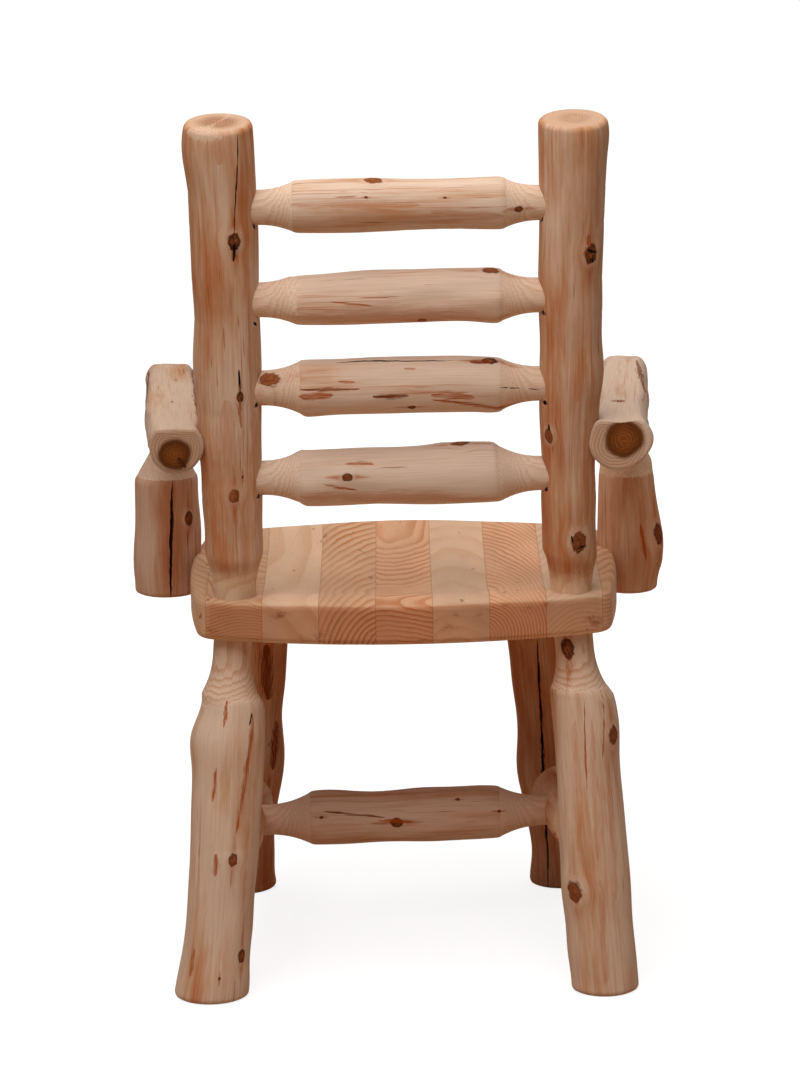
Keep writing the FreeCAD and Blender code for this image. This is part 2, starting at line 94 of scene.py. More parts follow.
def photo_pixels(points):
    """Pixels of the photograph where points in metres are seen: x = w/2 + F (p.right) / (p.look)."""
    away = points - CAMERA_PLACE
    far = away @ look
    across = PHOTO_SIZE[0] / 2 + FOCAL_PX * (away @ right) / far
    down = PHOTO_SIZE[1] / 2 - FOCAL_PX * (away @ upright) / far
    return np.stack([across, down], axis=-1)


print("camera lens in mm:", round(lens.lens, 2))

# %% [markdown]
# Shader nodes are easier to read when adding one takes one line. These helpers add a node to the tree that
# their values come from, give each input a constant or a link, and hand back its output. Colours are
# written as the eye sees them, from 0 to 255, and turned into light by the usual curve.

# %% Write helpers for shader nodes
VECTOR_SOCKETS = ("Grain", "Centre", "Seed", "Pith", "Start", "End", "Place")
COLOUR_SOCKETS = ("Color", "Core", "Sap", "Ink", "Early", "Late")
MIX_SOCKETS = (0, 6, 7)
MIX_RESULT = 2
ACROSS_LOG = (1.0, 1.0, 0.0)
ALONG_LOG = (0.0, 0.0, 1.0)
AGAINST_LOG = (0.0, 0.0, -1.0)
# The ranges that hold nearly all of a noise, and most of it
WIDE = (0.2, 0.8)
MID = (0.3, 0.7)


def tone(red, green, blue):
    """A seen colour as linear light: ((c + 0.055) / 1.055) ** 2.4 for each channel."""
    seen = np.array([red, green, blue]) / 255
    return (*(((seen + 0.055) / 1.055) ** 2.4).tolist(), 1.0)


def put(socket, value):
    """Gives an input a link from another node's output, or a constant."""
    if isinstance(value, bpy.types.NodeSocket):
        socket.id_data.links.new(value, socket)
    else:
        socket.default_value = value


def fill(node, values):
    """Gives inputs of a node their values by name."""
    for name, value in values.items():
        put(node.inputs[name], value)


def node_for(kind, *values):
    """A new node in the tree that the values come from."""
    tree = next(value.id_data for value in values if isinstance(value, bpy.types.NodeSocket))
    return tree.nodes.new("ShaderNode" + kind)


def operated(kind, operation, values):
    """A new node that does an operation on the values."""
    node = node_for(kind, *values)
    node.operation = operation
    for socket, value in zip(node.inputs, values):
        put(socket, value)
    return node


def maths(operation, *values, clamp=False):
    """A Math node's output."""
    node = operated("Math", operation, values)
    node.use_clamp = clamp
    return node.outputs[0]


def times(first, second):
    """The product of two numbers."""
    return maths("MULTIPLY", first, second)


def plus(first, second):
    """The sum of two numbers."""
    return maths("ADD", first, second)


def vectors(operation, *values):
    """A Vector Math node's output."""
    return operated("VectorMath", operation, values).outputs["Vector"]


def dot(first, second):
    """The dot product of two vectors."""
    return operated("VectorMath", "DOT_PRODUCT", (first, second)).outputs["Value"]


def length(vector):
    """The length of a vector."""
    return operated("VectorMath", "LENGTH", (vector,)).outputs["Value"]


def scaled(vector, factor):
    """A vector times one number."""
    node = node_for("VectorMath", vector, factor)
    node.operation = "SCALE"
    fill(node, {"Vector": vector, "Scale": factor})
    return node.outputs["Vector"]


def flattened(vector):
    """A grain place without its part along the log."""
    return vectors("MULTIPLY", vector, ACROSS_LOG)


def noise(vector, stretch, detail=2.0, roughness=0.5):
    """Noise between 0 and 1, with its own stretch along x, y and z."""
    node = node_for("TexNoise", vector)
    place = vectors("MULTIPLY", vector, stretch)
    fill(node, {"Vector": place, "Scale": 1.0, "Detail": detail, "Roughness": roughness})
    return node.outputs["Fac"]


def smooth(value, low, high, start=0.0, end=1.0):
    """A smooth step from start to end as the value goes from low to high."""
    node = node_for("MapRange", value)
    node.interpolation_type = "SMOOTHSTEP"
    for socket, given in zip(node.inputs, (value, low, high, start, end)):
        put(socket, given)
    return node.outputs[0]


def band(value, *steps, top=1.0):
    """A smooth step up between the first two steps, and down again between the last two."""
    down = smooth(value, *steps[2:], top, 0.0)
    return times(smooth(value, *steps[:2]), down)


def mix(factor, first, second):
    """A colour between two colours."""
    node = node_for("Mix", factor)
    node.data_type = "RGBA"
    for index, given in zip(MIX_SOCKETS, (factor, first, second)):
        put(node.inputs[index], given)
    return node.outputs[MIX_RESULT]


def attribute(tree, name, output):
    """What a mesh stores at its points under this name."""
    node = tree.nodes.new("ShaderNodeAttribute")
    node.attribute_name = name
    return node.outputs[output]


def shared_group(name, inputs, outputs):
    """A new node group with the named sockets, and its inner ends for the inputs and the outputs."""
    tree = bpy.data.node_groups.new(name, "ShaderNodeTree")
    for side, names in (("INPUT", inputs), ("OUTPUT", outputs)):
        for socket in names.split():
            kind = "Vector" if socket in VECTOR_SOCKETS else "Color" if socket in COLOUR_SOCKETS else "Float"
            tree.interface.new_socket(socket, in_out=side, socket_type="NodeSocket" + kind)
    entry = tree.nodes.new("NodeGroupInput").outputs
    leave = tree.nodes.new("NodeGroupOutput").inputs
    return tree, entry, leave


def use(shared, **values):
    """Places a node group and gives its inputs their values."""
    node = node_for("Group", *values.values())
    node.node_tree = shared
    fill(node, values)
    return node.outputs


def new_material(name):
    """A new material, its node tree and its shader."""
    material = bpy.data.materials.new(name)
    material.use_nodes = True
    return material, material.node_tree, material.node_tree.nodes["Principled BSDF"]


def bumped(height, strength, depth):
    """The normal of a face that a height raises, by a depth in mm."""
    node = node_for("Bump", height)
    fill(node, {"Height": height, "Strength": strength, "Distance": depth * MM})
    return node.outputs["Normal"]


print("white as light:", tone(255, 255, 255))

# %% [markdown]
# The studio is white. A wide lamp, high on the camera's side, stands for the softbox, a second one lights
# the tops, and the world fills the shadows. Light Path makes the floor and the world look white to the
# camera whatever light they give, so the lamps only have to suit the wood. The floor itself is a warm pale
# board: what it throws back reddens the undersides of the logs, as in the photograph, and it still takes
# the chair's shadow.

# %% Build the studio
# Each lamp: place, target, size and power
LAMPS = {
    "key": ((0.5, 1.75, 3.2), (0.0, 0.0, 0.55), 2.8, 85.0),
    "overhead": ((0.0, -0.5, 3.2), (0.0, 0.0, 0.5), 2.4, 32.0),
}
FILL_LIGHT = 0.12
FILL_TONE = (1.0, 0.93, 0.86, 1.0)
WHITE = (1.0, 1.0, 1.0, 1.0)
FLOOR_HALF = 15.0
FLOOR_GLOW = (0.84, 1.0)
FLOOR_REACH = (0.6, 2.6)
FLOOR_SEEN = tone(160, 160, 160)
FLOOR_BOARD = tone(196, 162, 134)


def seen_white(tree):
    """1 for rays that come from the camera or from a shiny surface, which see the white backdrop."""
    path = tree.nodes.new("ShaderNodeLightPath").outputs
    seen = maths("MAXIMUM", path["Is Camera Ray"], path["Is Glossy Ray"])
    return maths("MAXIMUM", seen, path["Is Transmission Ray"])


def lamp(name, place, target, size, power):
    """A square lamp that faces a point."""
    light = bpy.data.lights.new(name, "AREA")
    light.energy = power
    light.size = size
    toward = Vector(target) - Vector(place)
    turned = toward.to_track_quat("-Z", "Y").to_matrix().to_4x4()
    add(name, light).matrix_world = Matrix.Translation(place) @ turned


world = bpy.data.worlds.new("white_studio")
world.use_nodes = True
scene.world = world
sky = world.node_tree
fill(sky.nodes["Background"], {"Color": mix(seen_white(sky), FILL_TONE, WHITE),
                               "Strength": smooth(seen_white(sky), 0.0, 1.0, FILL_LIGHT, 1.0)})

for name, row in LAMPS.items():
    lamp(name, *row)

plane = bpy.data.meshes.new("floor")
corners = [(FLOOR_HALF * x, FLOOR_HALF * y, 0) for x, y in ((-1, -1), (1, -1), (1, 1), (-1, 1))]
plane.from_pydata(corners, [], [(0, 1, 2, 3)])
floor = add("floor", plane)
paint, floor_tree, floor_shader = new_material("floor_white")
board = mix(seen_white(floor_tree), FLOOR_BOARD, FLOOR_SEEN)
spot = floor_tree.nodes.new("ShaderNodeTexCoord").outputs["Object"]
glow = smooth(length(spot), *FLOOR_REACH, *FLOOR_GLOW)
glow = times(seen_white(floor_tree), glow)
fill(floor_shader, {"Base Color": board, "Roughness": 1.0, "Specular IOR Level": 0.0,
                    "Emission Color": WHITE, "Emission Strength": glow})
plane.materials.append(paint)

# %% [markdown]
# A peeled log is not a cylinder. Its solid already has the right course, girth and cut ends, so the
# lesson slices that solid across the log, ring by ring, and reads the outline of each slice. The convex
# outline runs straight over mortises and screw holes, which the joined pieces fill anyway.

# %% Slice a log into rings
COLUMNS = 112
RING_STEP = 2.6 * MM
END_RINGS = 10
END_REACH = 9 * MM
END_MARGIN = 0.1 * MM
END_SQUARE = (0.95, 0.995, 0.9998)
NARROWEST = 0.2
SOFT_PASSES = 3
CAP_STEPS = (0.97, 0.92, 0.84, 0.74, 0.62, 0.48, 0.32, 0.15)
TURN = np.arange(COLUMNS) * 2 * math.pi / COLUMNS
AROUND = np.stack([np.cos(TURN), np.sin(TURN)])


def triangles_of(node):
    """The corners of a solid's triangles, as an array of triangle, corner and xyz."""
    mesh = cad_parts[node].data
    mesh.calc_loop_triangles()
    points = np.empty(3 * len(mesh.vertices))
    corners = np.empty(3 * len(mesh.loop_triangles), dtype=int)
    mesh.vertices.foreach_get("co", points)
    mesh.loop_triangles.foreach_get("vertices", corners)
    return points.reshape(-1, 3)[corners].reshape(-1, 3, 3)


def log_frame(triangles, toward):
    """Unit vectors across, beside and along a log, square to the flat end that faces a direction."""
    normals = np.cross(triangles[:, 1] - triangles[:, 0], triangles[:, 2] - triangles[:, 0])
    sizes = np.linalg.norm(normals, axis=1)
    along = toward
    for square in END_SQUARE:
        along = normals[normals @ along > square * sizes].sum(axis=0)
        along = along / np.linalg.norm(along)
    across = np.cross(along, np.roll(toward, 1))
    across /= np.linalg.norm(across)
    return np.stack([across, np.cross(along, across), along])


def slice_outline(local, station):
    """Centre and radii of one slice of triangles given as x, y and s along the log.

    The plane at s cuts each triangle edge at a + (b - a) (s - a_s) / (b_s - a_s). The farthest cut
    point in each direction n is h(n) = max p.n, and the radius is r(t) = min over n of h(n) / cos(t - n).
    """
    ends = np.roll(local, -1, axis=1)
    cut = (local[..., 2] < station) != (ends[..., 2] < station)
    first = local[cut]
    second = ends[cut]
    part = (station - first[:, 2]) / (second[:, 2] - first[:, 2])
    points = first[:, :2] + part[:, None] * (second - first)[:, :2]
    centre = (points.max(axis=0) + points.min(axis=0)) / 2
    reach = ((points - centre) @ AROUND).max(axis=0)
    lean = np.cos(TURN[:, None] - TURN[None, :])
    spread = np.where(lean > NARROWEST, reach[None, :] / np.maximum(lean, NARROWEST), np.inf)
    return centre, spread.min(axis=1)


def softened(radii, passes):
    """Radii averaged with their neighbours, r = (r- + 2 r + r+) / 4, away from the log's two ends."""
    for _ in range(passes):
        radii = (np.roll(radii, 1, axis=1) + 2 * radii + np.roll(radii, -1, axis=1)) / 4
        middle = (radii[:-2] + 2 * radii[1:-1] + radii[2:]) / 4
        inner = slice(END_RINGS, -END_RINGS)
        radii[inner] = middle[END_RINGS - 1:1 - END_RINGS]
    return radii


def measured(node, toward):
    """A log's own frame, with the stations, centres and radii of its rings in metres."""
    triangles = triangles_of(node)
    axes = log_frame(triangles, np.array(toward, dtype=float))
    local = triangles @ axes.T
    low = local[..., 2].min()
    high = local[..., 2].max()
    edge = END_REACH * (np.arange(END_RINGS) / END_RINGS) ** 2 + END_MARGIN
    count = int((high - low - 2 * END_REACH) / RING_STEP)
    inside = np.linspace(low + END_REACH, high - END_REACH, count)
    stations = np.concatenate([low + edge, inside, high - edge[::-1]])
    outlines = [slice_outline(local, station) for station in stations]
    centres = np.array([outline[0] for outline in outlines])
    radii = softened(np.array([outline[1] for outline in outlines]), SOFT_PASSES)
    return axes, stations, centres, radii


print("points round each ring:", COLUMNS)

# %% [markdown]
# A tree lays down one coat of wood each year. Peeling follows the last coat, so a peeled face shows no
# rings, while a turned neck or a sawn end cuts down through the coats and shows them as contour lines.
# Each point therefore stores how deep it lies below the peeled face, and where it sits along the grain.

# %% Grow a skin from the rings
LUMP = 0.49 * MM
LUMP_WAVES = 9
LUMP_TURNS = (1, 8)
LUMP_RATES = (-70, 70)
LUMP_DEPTH = 3 * MM
KNOT_SPREAD = 1.9
COURSE_POWERS = 3
LEDGE_START = 0.5 * MM
LEDGE_RADIUS = 21 * MM
# Each kind of shoulder: the part of the widest ring within a reach in mm where it begins, its ledge in mm,
# depth in mm where its cut is whole, ring lines, torn fibres, coat in mm and tint of the sapwood laid bare
Shoulder = namedtuple("Shoulder", "part reach ledge blend lines torn coat sap")
EDGED = Shoulder(0.955, 125, 0.7, 1.2, 0.36, 0.25, 1.35, (1.0, 0.98, 0.98, 1.0))
SWOLLEN = Shoulder(0.86, 125, 0.7, 1.2, 0.66, 0.2, 1.9, (1.0, 0.97, 0.98, 1.0))
# A flared post base has a tint above 1, so its cut comes out paler than the wood round it
FLARED = Shoulder(0.92, 125, 0.0, 7.0, 0.45, 0.0, 2.6, (1.25, 1.3, 1.28, 1.0))
CONED = Shoulder(0.93, 125, 0.7, 1.2, 0.2, 1.0, 1.35, (1.05, 1.1, 1.14, 1.0))
SAWN = Shoulder(0.955, 12, 0.7, 1.2, 0.75, 0.0, 3.4, (0.86, 0.78, 0.74, 1.0))


def lumps(stations, seed):
    """Low waves left by knife and growth: the sum of cos(n t + k s + p) over a few random n, k and p."""
    rng = np.random.default_rng(seed)
    turns = rng.integers(*LUMP_TURNS, LUMP_WAVES)
    rates = rng.uniform(*LUMP_RATES, LUMP_WAVES)
    starts = rng.uniform(0, 2 * math.pi, LUMP_WAVES)
    phase = turns * TURN[None, :, None] + rates * stations[:, None, None] + starts
    return LUMP * np.cos(phase).sum(axis=2) / math.sqrt(LUMP_WAVES)


def peeled_radius(stations, radii, necks):
    """The radius that the peeled face had before necks and ends were cut, held out from each shoulder.

    A shoulder is where the radius comes up to its part of the widest ring near that end.
    """
    rings = np.arange(len(stations))[:, None]
    first = stations < stations[0] + necks[0].reach * MM
    last = stations > stations[-1] - necks[1].reach * MM
    start = np.argmax(radii >= necks[0].part * radii[first].max(axis=0), axis=0)
    end = np.argmax(radii[::-1] >= necks[1].part * radii[last].max(axis=0), axis=0)
    end = len(stations) - 1 - end
    held = np.clip(rings, start[None, :], end[None, :])
    return np.take_along_axis(radii, held, axis=0)


def ring_points(radii, stations, centres):
    """Points of rings: p = centre + r (cos t, sin t), and the station along the log."""
    flat = centres[:, None, :] + radii[..., None] * AROUND.T[None]
    along = np.broadcast_to(stations[:, None, None], (*radii.shape, 1))
    return np.concatenate([flat, along], axis=2)


class Skin:
    """A log's surface as rings of points, with the grain place in mm and the depth of each point."""

    def __init__(self, node, toward, necks, seed):
        self.node = node
        self.axes, self.stations, self.centres, self.radii = measured(node, toward)
        course = np.polynomial.polynomial.polyfit(self.stations, self.centres, COURSE_POWERS)
        self.course = np.polynomial.polynomial.polyval(self.stations, course).T
        self.peeled = peeled_radius(self.stations, self.radii, necks)
        below = self.peeled - self.radii
        step = np.clip((below - LEDGE_START) / LEDGE_START, 0, 1)
        full = np.clip(self.radii / LEDGE_RADIUS, 0, 1)
        self.radii = self.radii - necks[0].ledge * MM * step * full
        body = np.clip(1 - below / LUMP_DEPTH, 0, 1)
        wave = lumps(self.stations, seed) * body
        self.radii = self.radii + wave
        self.peeled = self.peeled + wave

    def points(self, radii, stations, centres):
        """Points in the chair's frame."""
        return ring_points(radii, stations, centres) @ self.axes

    def grain(self, radii, stations, centres):
        """Place in the wood in mm: x and y from the tree's own smooth course, and z along the log."""
        course = np.stack([np.interp(stations, self.stations, line) for line in self.course.T], axis=1)
        return ring_points(radii, stations, centres - course) / MM

    def capped(self):
        """The rings with the smaller rings of both end faces: radii, stations, centres and peeled radii."""
        steps = np.array(CAP_STEPS)
        count = len(steps)

        def ends(rows):
            return np.concatenate([np.repeat(rows[:1], count, 0), rows, np.repeat(rows[-1:], count, 0)])

        near = steps[::-1, None] * self.radii[0]
        radii = np.concatenate([near, self.radii, steps[:, None] * self.radii[-1]])
        return radii, ends(self.stations), ends(self.centres), ends(self.peeled)

    def at_pixel(self, pixel):
        """The grain place of the point on the near side that the photograph shows nearest a pixel."""
        radii, stations, centres, _ = self.capped()
        points = self.points(radii, stations, centres)
        outward = points - points.mean(axis=1, keepdims=True)
        count = len(CAP_STEPS)
        outward[:count] = -self.axes[2]
        outward[-count:] = self.axes[2]
        near = ((CAMERA_PLACE - points) * outward).sum(axis=2) > 0
        miss = np.linalg.norm(photo_pixels(points) - np.array(pixel), axis=2)
        ring, column = np.unravel_index(np.argmin(np.where(near, miss, np.inf)), miss.shape)
        return self.grain(radii, stations, centres)[ring, column]

    def at_turn(self, part, turn):
        """The grain place at a part of the log's length and a turn round it."""
        ring = int(part * (len(self.stations) - 1))
        return self.grain(self.radii, self.stations, self.centres)[ring, int(turn * COLUMNS) % COLUMNS]

    def swell(self, place, radius, height):
        """Raises a bump where a branch was trimmed: h exp(-(d / w)^2) with d the distance to the knot."""
        away = np.linalg.norm(self.grain(self.radii, self.stations, self.centres) - place, axis=2)
        self.radii = self.radii + height * MM * np.exp(-(away / (KNOT_SPREAD * radius)) ** 2)

    def build(self):
        """The finished mesh object: rings joined round and along, and a fan of faces at each end."""
        radii, stations, centres, peeled = self.capped()
        poles = [np.append(centres[i], stations[i]) @ self.axes for i in (0, -1)]
        points = np.concatenate([self.points(radii, stations, centres).reshape(-1, 3), poles])
        rows = self.grain(radii, stations, centres)
        grain = np.concatenate([rows.reshape(-1, 3), rows[[0, -1]].mean(axis=1)])
        depth = np.concatenate([(peeled - radii).reshape(-1), peeled[[0, -1]].mean(axis=1)]) / MM
        ring = np.arange(len(radii) - 1)[:, None] * COLUMNS
        column = np.arange(COLUMNS)[None, :]
        following = (column + 1) % COLUMNS
        quads = np.stack([ring + column, ring + following,
                          ring + COLUMNS + following, ring + COLUMNS + column], axis=2).reshape(-1, 4)
        top = (len(radii) - 1) * COLUMNS
        pole = len(points) - 2
        near_fan = np.stack([np.full(COLUMNS, pole), following[0], column[0]], axis=1)
        far_fan = np.stack([np.full(COLUMNS, pole + 1), top + column[0], top + following[0]], axis=1)
        mesh = bpy.data.meshes.new(self.node + "_skin")
        mesh.from_pydata(points.tolist(), [], quads.tolist() + near_fan.tolist() + far_fan.tolist())
        mesh.shade_smooth()
        mesh.attributes.new("grain", "FLOAT_VECTOR", "POINT").data.foreach_set("vector", grain.ravel())
        mesh.attributes.new("depth", "FLOAT", "POINT").data.foreach_set("value", depth)
        piece = add(self.node + "_skin", mesh)
        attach(piece, "root")
        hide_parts(self.node)
        return piece


print("a shoulder has:", Shoulder._fields)

# %% [markdown]
# Wood is painted in layers that every log shares, each in a node group. First the grain swings round each
# knot, where the trunk grew past a branch. Moving the place that is looked up bends all streaks at once.

# %% Bend the grain round knots
def make_bend():
    """Spreads the grain round a knot: q shrinks by k near the knot, so lines of grain swing outwards."""
    tree, given, leave = shared_group("Grain Bend", "Grain Centre Radius", "Grain")
    away = vectors("SUBTRACT", given["Grain"], given["Centre"])
    part = maths("DIVIDE", length(away), given["Radius"])
    pull = smooth(part, 0.4, 3.4, 0.62, 0.0)
    put(leave["Grain"], vectors("SUBTRACT", given["Grain"], scaled(flattened(away), pull)))
    return tree


BEND = make_bend()
print("layer:", BEND.name)

# %% [markdown]
# A drawknife leaves pale wood with tan blotches, and streaks of inner bark in the hollows. Noise that is
# stretched along the grain gives each of them, and its thresholds set how much of it shows.

# %% Paint the peeled face
PALE = tone(224, 194, 169)
TAN = tone(206, 158, 122)
STREAK = tone(188, 106, 56)
INNER_BARK = tone(150, 76, 32)
REGION_SHIFT = (31.0, 7.0, 90.0)
SLIT_SHIFT = (5.0, 61.0, 40.0)


def make_peel():
    """The peeled face: pale and tan blotches, long thin streaks of inner bark and fine fibres."""
    tree, given, leave = shared_group("Peeled Face", "Grain Seed Warm Bark", "Color Fibre")
    place = vectors("ADD", given["Grain"], given["Seed"])
    blotch = noise(place, (0.03, 0.03, 0.005), 4.0, 0.6)
    fibre = noise(place, (0.9, 0.9, 0.018), 3.0, 0.65)
    strand = noise(place, (0.26, 0.26, 0.01))
    lines = noise(place, (0.3, 0.3, 0.0055), 3.0, 0.6)
    region = noise(vectors("ADD", place, REGION_SHIFT), (0.022, 0.022, 0.006), 1.0)
    slits = noise(vectors("ADD", place, SLIT_SHIFT), (0.34, 0.34, 0.016))
    warmth = plus(blotch, given["Warm"])
    warmth = plus(warmth, smooth(strand, 0.25, 0.75, -0.045, 0.045))
    colour = mix(smooth(warmth, 0.36, 0.62), PALE, TAN)
    colour = mix(smooth(warmth, 0.54, 0.76, 0.0, 0.75), colour, STREAK)
    where = plus(region, given["Bark"])
    soft = times(smooth(lines, 0.52, 0.76), smooth(where, 0.36, 0.70))
    colour = mix(times(soft, 0.9), colour, STREAK)
    sharp = times(smooth(slits, 0.68, 0.72), smooth(where, 0.40, 0.58))
    colour = mix(times(sharp, 0.7), colour, INNER_BARK)
    shade = smooth(fibre, *MID, 0.91, 1.06)
    put(leave["Color"], scaled(colour, shade))
    put(leave["Fibre"], fibre)
    return tree


PEEL = make_peel()
print("layer:", PEEL.name)

# %% [markdown]
# Where a cut goes deep, the yearly coats come out as lines and the heart as a brown core. The stored
# depth and the distance to the pith draw both, so that the lines follow every cut by themselves.

# %% Draw the growth rings
NECK = tone(226, 196, 168)
NECK_LINE = tone(198, 146, 106)
FRESH = tone(233, 207, 181)
RING_SLANT = (0.10, 0.06, 0.0)
HEART_RING = 3.4
BLUR = (3.0, 8.0)


def make_rings():
    """Growth rings by depth: one coat in each period, dark in its last part, and heartwood at the pith."""
    tree, given, leave = shared_group(
        "Growth Rings", "Color Grain Depth Pith Heart Soft Core Blend Lines Torn Period Sap",
        "Color Line Cut")
    grain = given["Grain"]
    wander = noise(grain, (0.05, 0.05, 0.018))
    ragged = noise(grain, (0.32, 0.32, 0.08), 3.0)
    depth = plus(given["Depth"], times(wander, 3.0))
    depth = plus(depth, dot(grain, RING_SLANT))
    saw = maths("FRACT", maths("DIVIDE", depth, given["Period"]))
    line = band(saw, 0.3, 0.9, 0.92, 1.0)
    aside = vectors("SUBTRACT", grain, given["Pith"])
    from_pith = length(flattened(aside))
    uneven = noise(grain, (0.035, 0.035, 0.0), 1.0)
    crinkle = noise(grain, (0.16, 0.16, 0.0))
    from_pith = plus(from_pith, smooth(uneven, *WIDE, -1.6, 1.6))
    inside = maths("SUBTRACT", from_pith, given["Heart"])
    from_pith = plus(from_pith, smooth(crinkle, *WIDE, -1.3, 1.3))
    heart = smooth(inside, times(given["Soft"], -1.0), given["Soft"], 1.0, 0.0)
    turn = maths("FRACT", maths("DIVIDE", from_pith, HEART_RING))
    turn = band(turn, 0.2, 0.85, 0.9, 1.0)
    edge = plus(given["Depth"], smooth(ragged, *WIDE, -0.4, 0.4))
    cut = smooth(edge, 0.7, given["Blend"])
    fresh = times(cut, smooth(edge, 1.6, 5.0, 0.7, 0.0))
    fibre = noise(grain, (1.1, 1.1, 0.05))
    sap = mix(times(line, given["Lines"]), NECK, NECK_LINE)
    torn = noise(grain, (0.55, 0.55, 0.3), 3.0, 0.7)
    sap = mix(times(fresh, smooth(torn, 0.36, 0.6)), sap, FRESH)
    sap = mix(times(given["Torn"], smooth(torn, 0.5, 0.6)), sap, FRESH)
    sap = mix(times(given["Torn"], smooth(torn, 0.34, 0.44, 0.7, 0.0)), sap, TAN)
    light = smooth(given["Soft"], *BLUR, 1.5, 1.05)
    gloom = smooth(given["Soft"], *BLUR, 0.7, 0.92)
    shade = smooth(inside, -16.0, 0.5, light, gloom)
    shade = times(shade, smooth(turn, 0.0, 1.0, 1.0, 0.68))
    core = scaled(given["Core"], shade)
    wood = mix(heart, vectors("MULTIPLY", sap, given["Sap"]), core)
    wood = scaled(wood, smooth(fibre, *MID, 0.93, 1.05))
    put(leave["Color"], mix(cut, given["Color"], wood))
    put(leave["Line"], times(line, cut))
    put(leave["Cut"], cut)
    return tree


RINGS = make_rings()
print("layer:", RINGS.name)

# %% [markdown]
# A knot is a branch cut flush: a ringed core, often split, a pale healed collar and a flame of stain along
# the grain. All are drawn from the distance to the knot, counted in radii, so one layer fits every size.

# %% Draw the knots
KNOT_CORE = tone(164, 94, 54)
KNOT_DARK = tone(74, 36, 18)
KNOT_RIM = tone(34, 17, 10)
KNOT_STAIN = tone(180, 98, 48)
KNOT_STRETCH = (1.0, 1.0, 0.72)
CORE_RINGS = 13.0
COLLAR_RINGS = 19.0


def make_knot():
    """A trimmed branch: a ringed core, a pale collar, and a flame of stain |q| / R + |z| / 6R < 1."""
    tree, given, leave = shared_group("Knot", "Color Grain Centre Radius Dark", "Color Dent")
    grain = given["Grain"]
    away = vectors("SUBTRACT", grain, given["Centre"])
    away = scaled(away, maths("DIVIDE", 1.0, given["Radius"]))
    ragged = noise(grain, (0.22, 0.22, 0.14))
    mottle = noise(grain, (0.42, 0.42, 0.28), 3.0, 0.6)
    fibre = noise(grain, (0.6, 0.6, 0.02))
    part = length(vectors("MULTIPLY", away, KNOT_STRETCH))
    part = plus(part, smooth(ragged, *WIDE, -0.17, 0.17))
    below = dot(away, AGAINST_LOG)
    sideways = vectors("CROSS_PRODUCT", vectors("NORMALIZE", given["Centre"]), ALONG_LOG)
    aside = dot(away, vectors("NORMALIZE", sideways))

    core = smooth(part, 0.84, 1.0, 1.0, 0.0)
    age = maths("MULTIPLY_ADD", mottle, 0.8, maths("SUBTRACT", part, 0.4))
    age = times(smooth(age, 0.1, 0.9), given["Dark"])
    branch = mix(age, KNOT_CORE, KNOT_DARK)
    wave = maths("SINE", maths("MULTIPLY_ADD", mottle, 5.0, times(part, CORE_RINGS)))
    branch = mix(smooth(wave, 0.1, 1.0, 0.0, 0.45), branch, KNOT_DARK)
    slit = maths("MULTIPLY_ADD", below, 0.4, maths("MULTIPLY_ADD", mottle, 0.5, aside))
    slit = smooth(maths("ABSOLUTE", maths("SUBTRACT", slit, 0.25)), 0.03, 0.12, 1.0, 0.0)
    slit = times(slit, smooth(part, 0.55, 0.85, 1.0, 0.0))
    branch = mix(times(slit, given["Dark"]), branch, KNOT_RIM)

    rim = band(part, 0.78, 0.96, 0.99, 1.14)
    rim = times(rim, smooth(plus(below, ragged), 0.2, 1.0, 0.2, 0.95))
    collar = band(part, 0.98, 1.12, 1.15, 2.0, top=0.6)
    collar = times(collar, smooth(ragged, 0.35, 0.6, 0.35, 1.0))
    circle = maths("SINE", maths("MULTIPLY_ADD", ragged, 4.0, times(part, COLLAR_RINGS)))
    healed = mix(smooth(circle, 0.1, 1.0, 0.0, 0.6), PALE, TAN)

    beside = maths("ABSOLUTE", aside)
    above = times(maths("ABSOLUTE", below), 0.17)
    flame = plus(beside, above)
    flame = plus(flame, smooth(fibre, 0.25, 0.75, 0.3, -0.3))
    stain = times(smooth(flame, 0.4, 1.4, 0.95, 0.0), given["Dark"])
    near = smooth(length(away), 5.0, 7.0, 1.0, 0.0)
    colour = mix(times(stain, near), given["Color"], KNOT_STAIN)
    colour = mix(collar, colour, healed)
    colour = mix(core, colour, branch)
    colour = mix(times(rim, given["Dark"]), colour, KNOT_RIM)
    put(leave["Color"], colour)
    put(leave["Dent"], maths("MULTIPLY_ADD", collar, -0.6, core))
    return tree


KNOT = make_knot()
print("layer:", KNOT.name)

# %% [markdown]
# Logs split along the grain as they dry, and bark stays on in strips. One layer draws all of these, from
# a line between two places and a width that runs out at both ends.

